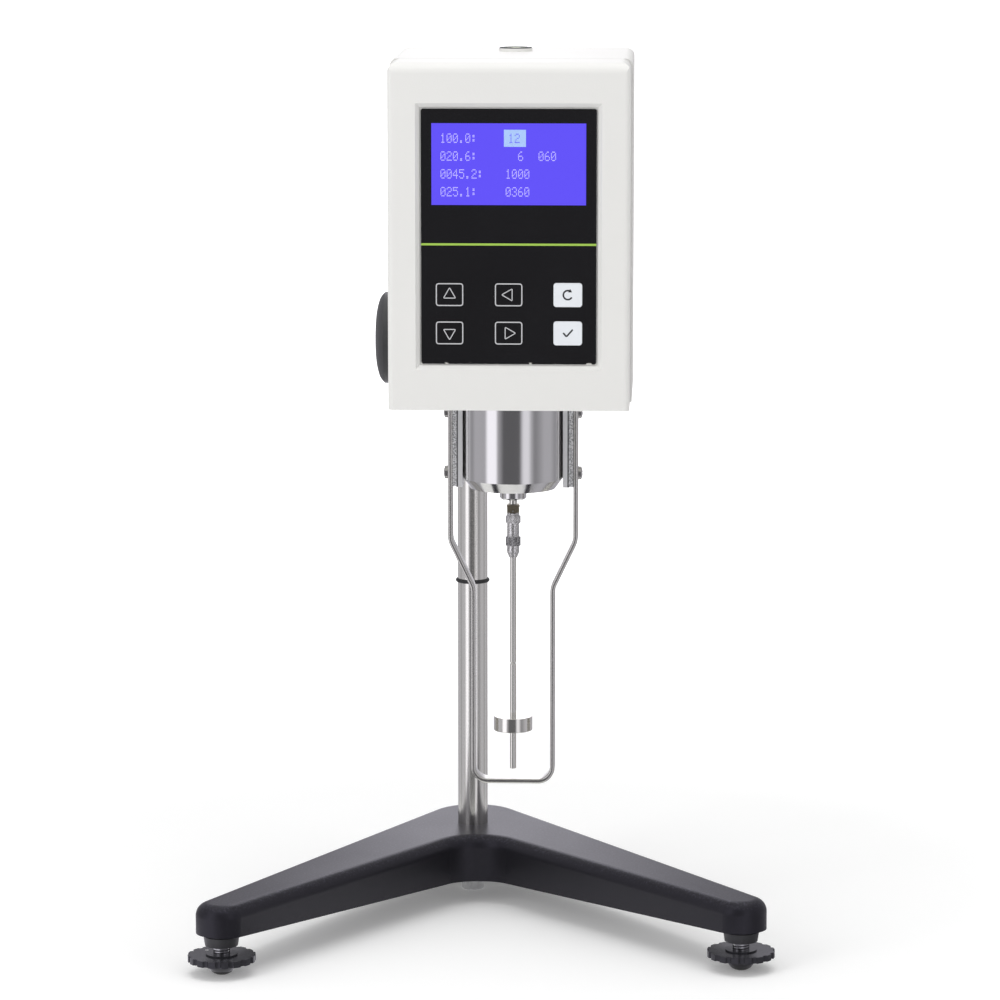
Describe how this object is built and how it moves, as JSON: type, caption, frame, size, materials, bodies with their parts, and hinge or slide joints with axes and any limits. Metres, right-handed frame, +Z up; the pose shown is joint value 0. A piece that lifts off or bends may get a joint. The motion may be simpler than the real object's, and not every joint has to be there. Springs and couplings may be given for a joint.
{
  "type": "rotational viscometer",
  "caption": "Bench rotational viscometer: a display head on a rack column and V base, with a disc rotor in a strap guard.",
  "frame": {"origin": "column axis at the foot of its bolt, level with the table", "axes": "+Z up the column, the display faces -Y, +X to the viewer's right"},
  "size_m": [0.2763, 0.23, 0.4293],
  "materials": {
    "black_paint": "satin black paint on cast iron",
    "stainless": "polished stainless steel",
    "bolt_steel": "turned steel",
    "black_rubber": "matte rubber",
    "black_plastic": "moulded, satin",
    "cast_aluminium": "bead blasted",
    "nylon": "natural",
    "casing_white": "fine satin paint, white",
    "gasket_grey": "matte",
    "panel_black": "printed film",
    "lcd_glass": "clear window",
    "lcd_blue": "blue backlight",
    "board_green": "solder mask",
    "level_glass": "liquid-filled",
    "bracket_aluminium": "milled",
    "guard_steel": "polished strip",
    "motor_steel": "dark",
    "spring_bronze": "bright strip",
    "brass": "turned",
    "key_black": "printed film",
    "key_white": "printed film"
  },
  "bodies": {
    "stand": {"base_casting": "black_paint", "column": "stainless", "column_foot_bolt": "bolt_steel", "column_cap": "black_rubber", "stop_ring": "black_rubber", "foot_collars": "black_plastic"},
    "left_pad": {"left_foot_pad": "black_rubber"},
    "right_pad": {"right_foot_pad": "black_rubber"},
    "left_wheel": {"left_foot_stud": "bolt_steel", "left_foot_wheel": "black_plastic"},
    "right_wheel": {"right_foot_stud": "bolt_steel", "right_foot_wheel": "black_plastic"},
    "carriage": {"carriage_block": "cast_aluminium", "column_bushes": "nylon", "tension_screw": "black_plastic", "rod_clamp_screw": "bolt_steel"},
    "knob": {"lift_knob": "black_plastic", "pinion_shaft": "bolt_steel", "shaft_ring": "bolt_steel"},
    "head": {"head_rod": "bolt_steel", "head_chassis": "cast_aluminium", "front_shell": "casing_white", "rear_shell": "casing_white", "seam_gasket": "gasket_grey", "shell_screws": "bolt_steel", "overlay_panel": "panel_black", "lcd_window": "lcd_glass", "lcd_module": "lcd_blue", "key_board": "board_green", "main_board": "board_green", "level_ring": "bolt_steel", "level_vial": "level_glass", "power_inlet": "black_plastic", "switch_frame": "black_plastic", "drive_housing": "stainless", "shaft_hub": "stainless", "shaft_bearing": "bolt_steel", "left_bracket": "bracket_aluminium", "right_bracket": "bracket_aluminium", "guard_frame": "guard_steel", "guard_screws": "bolt_steel", "motor_posts": "cast_aluminium", "motor_plate": "cast_aluminium", "drive_motor": "motor_steel"},
    "rocker": {"power_rocker": "black_plastic"},
    "drive": {"motor_shaft": "bolt_steel", "drive_disc": "cast_aluminium", "hairspring": "spring_bronze"},
    "measuring": {"measuring_shaft": "stainless", "angle_disc": "bracket_aluminium"},
    "swivel": {"swivel_block": "brass", "swivel_pins": "bolt_steel"},
    "rotor": {"rotor_sleeve": "stainless", "disc_rotor": "stainless"},
    "key_up": {"key_up": "key_black"},
    "key_down": {"key_down": "key_black"},
    "key_left": {"key_left": "key_black"},
    "key_right": {"key_right": "key_black"},
    "key_reset": {"key_reset": "key_white"},
    "key_enter": {"key_enter": "key_white"}
  },
  "joints": [
    {"name": "head_lift", "type": "slide", "parent": "stand", "child": "carriage", "axis": [0, 0, 1], "range_m": [-0.065, 0.06]},
    {"name": "lift_knob_turn", "type": "hinge", "parent": "carriage", "child": "knob", "pos_m": [0, 0.0153, 0.2805], "axis": [1, 0, 0], "range_deg": [-430, 400]},
    {"name": "head_tilt", "type": "hinge", "parent": "carriage", "child": "head", "pos_m": [0.0235, 0, 0.3], "axis": [0, 1, 0], "range_deg": [-2, 2]},
    {"name": "drive_spin", "type": "hinge", "parent": "head", "child": "drive", "pos_m": [0.0235, -0.0838, 0.29], "axis": [0, 0, 1], "continuous": true},
    {"name": "spring_twist", "type": "hinge", "parent": "drive", "child": "measuring", "pos_m": [0.0235, -0.0838, 0.268], "axis": [0, 0, 1], "range_deg": [0, 85], "stiffness_Nm_per_rad": 0.000045},
    {"name": "swivel_fore_aft", "type": "hinge", "parent": "measuring", "child": "swivel", "pos_m": [0.0235, -0.0838, 0.21045], "axis": [1, 0, 0], "range_deg": [-4, 4]},
    {"name": "swivel_side", "type": "hinge", "parent": "swivel", "child": "rotor", "pos_m": [0.0235, -0.0838, 0.20835], "axis": [0, 1, 0], "range_deg": [-4, 4]},
    {"name": "rocker_tip", "type": "hinge", "parent": "head", "child": "rocker", "pos_m": [-0.0105, -0.026, 0.284], "axis": [1, 0, 0], "range_deg": [0, 18]},
    {"name": "left_foot_height", "type": "slide", "parent": "stand", "child": "left_pad", "axis": [0, 0, -1], "range_m": [-0.00375, 0.0075]},
    {"name": "left_foot_turn", "type": "hinge", "parent": "left_pad", "child": "left_wheel", "pos_m": [-0.11061, -0.16903, 0.008], "axis": [0, 0, 1], "range_deg": [-1080, 2160]},
    {"name": "right_foot_height", "type": "slide", "parent": "stand", "child": "right_pad", "axis": [0, 0, -1], "range_m": [-0.00375, 0.0075]},
    {"name": "right_foot_turn", "type": "hinge", "parent": "right_pad", "child": "right_wheel", "pos_m": [0.13385, -0.15129, 0.008], "axis": [0, 0, 1], "range_deg": [-1080, 2160]},
    {"name": "key_up_press", "type": "slide", "parent": "head", "child": "key_up", "axis": [0, 1, 0], "range_m": [0, 0.0004], "stiffness_N_per_m": 3500},
    {"name": "key_down_press", "type": "slide", "parent": "head", "child": "key_down", "axis": [0, 1, 0], "range_m": [0, 0.0004], "stiffness_N_per_m": 3500},
    {"name": "key_left_press", "type": "slide", "parent": "head", "child": "key_left", "axis": [0, 1, 0], "range_m": [0, 0.0004], "stiffness_N_per_m": 3500},
    {"name": "key_right_press", "type": "slide", "parent": "head", "child": "key_right", "axis": [0, 1, 0], "range_m": [0, 0.0004], "stiffness_N_per_m": 3500},
    {"name": "key_reset_press", "type": "slide", "parent": "head", "child": "key_reset", "axis": [0, 1, 0], "range_m": [0, 0.0004], "stiffness_N_per_m": 3500},
    {"name": "key_enter_press", "type": "slide", "parent": "head", "child": "key_enter", "axis": [0, 1, 0], "range_m": [0, 0.0004], "stiffness_N_per_m": 3500}
  ],
  "couplings": [
    {"joint": "lift_knob_turn", "follows": "head_lift", "rad_per_m": 114.29},
    {"joint": "left_foot_turn", "follows": "left_foot_height", "rad_per_m": 5026.5},
    {"joint": "right_foot_turn", "follows": "right_foot_height", "rad_per_m": 5026.5}
  ]
}
